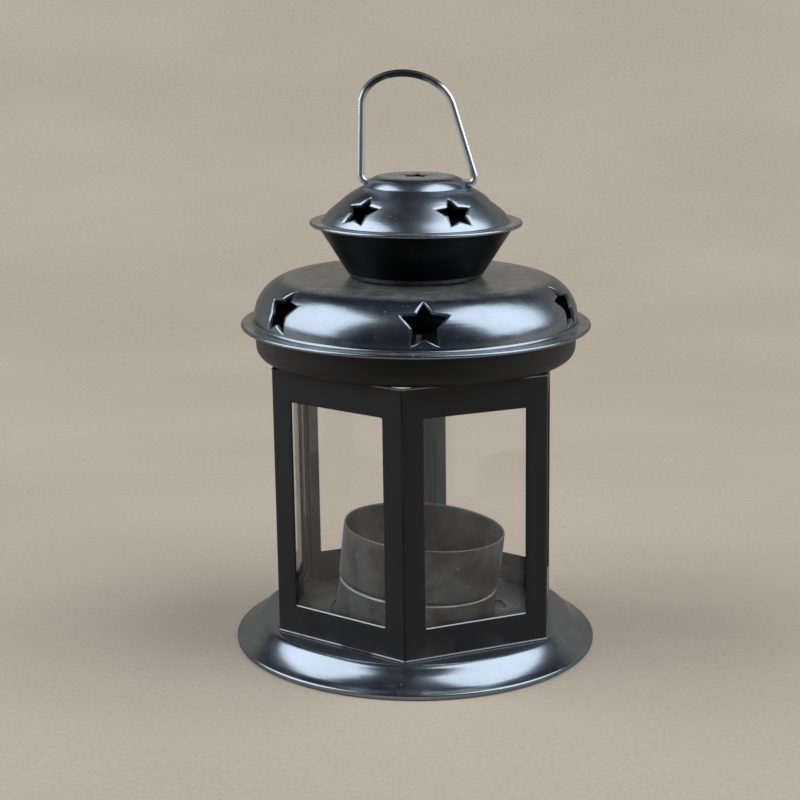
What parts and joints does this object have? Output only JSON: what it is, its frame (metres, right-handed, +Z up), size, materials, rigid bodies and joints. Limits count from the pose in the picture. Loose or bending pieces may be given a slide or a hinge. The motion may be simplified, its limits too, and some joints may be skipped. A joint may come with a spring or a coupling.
{
  "type": "candle lantern",
  "caption": "Small hexagonal tin lantern with glass panes, star cut-outs in its hemmed roof and cap, a swinging wire bail and a twist-in holder for a tealight.",
  "frame": {"origin": "middle of the base, at the table that the rolled rim stands on", "axes": "+Z up the lantern, X along the bail's pivot, -Y towards the front corner of the hexagon"},
  "size_m": [0.09, 0.09, 0.1411],
  "materials": {
    "shell_enamel": "satin blue-black enamel on pressed tinplate",
    "body_black": "flat black paint on folded tinplate",
    "pane_glass": "clear cut sheet glass",
    "cup_grey": "matt dark grey coating, lightly specked",
    "bail_wire": "bright drawn steel wire, darkened at the top of the arch",
    "rivet_steel": "plain steel rivet"
  },
  "bodies": {
    "lantern_body": {"base_pan": "shell_enamel", "body_frame": "body_black", "glass_pane_1": "pane_glass", "glass_pane_2": "pane_glass", "glass_pane_3": "pane_glass", "glass_pane_4": "pane_glass", "glass_pane_5": "pane_glass", "glass_pane_6": "pane_glass", "roof_pan": "shell_enamel", "roof_dome": "shell_enamel", "cap_bowl": "shell_enamel", "cap_dome": "shell_enamel"},
    "bail": {"bail_handle": "bail_wire"},
    "candle_holder": {"holder_hat": "cup_grey", "candle_cup": "cup_grey", "cup_rivet": "rivet_steel"}
  },
  "joints": [
    {"name": "handle_swing", "type": "hinge", "parent": "lantern_body", "child": "bail", "pos_m": [0, 0, 0.1143], "axis": [1, 0, 0], "range_deg": [-90, 90]},
    {"name": "holder_twist", "type": "hinge", "parent": "lantern_body", "child": "candle_holder", "pos_m": [0, 0, 0], "axis": [0, 0, 1], "range_deg": [0, 40]}
  ]
}
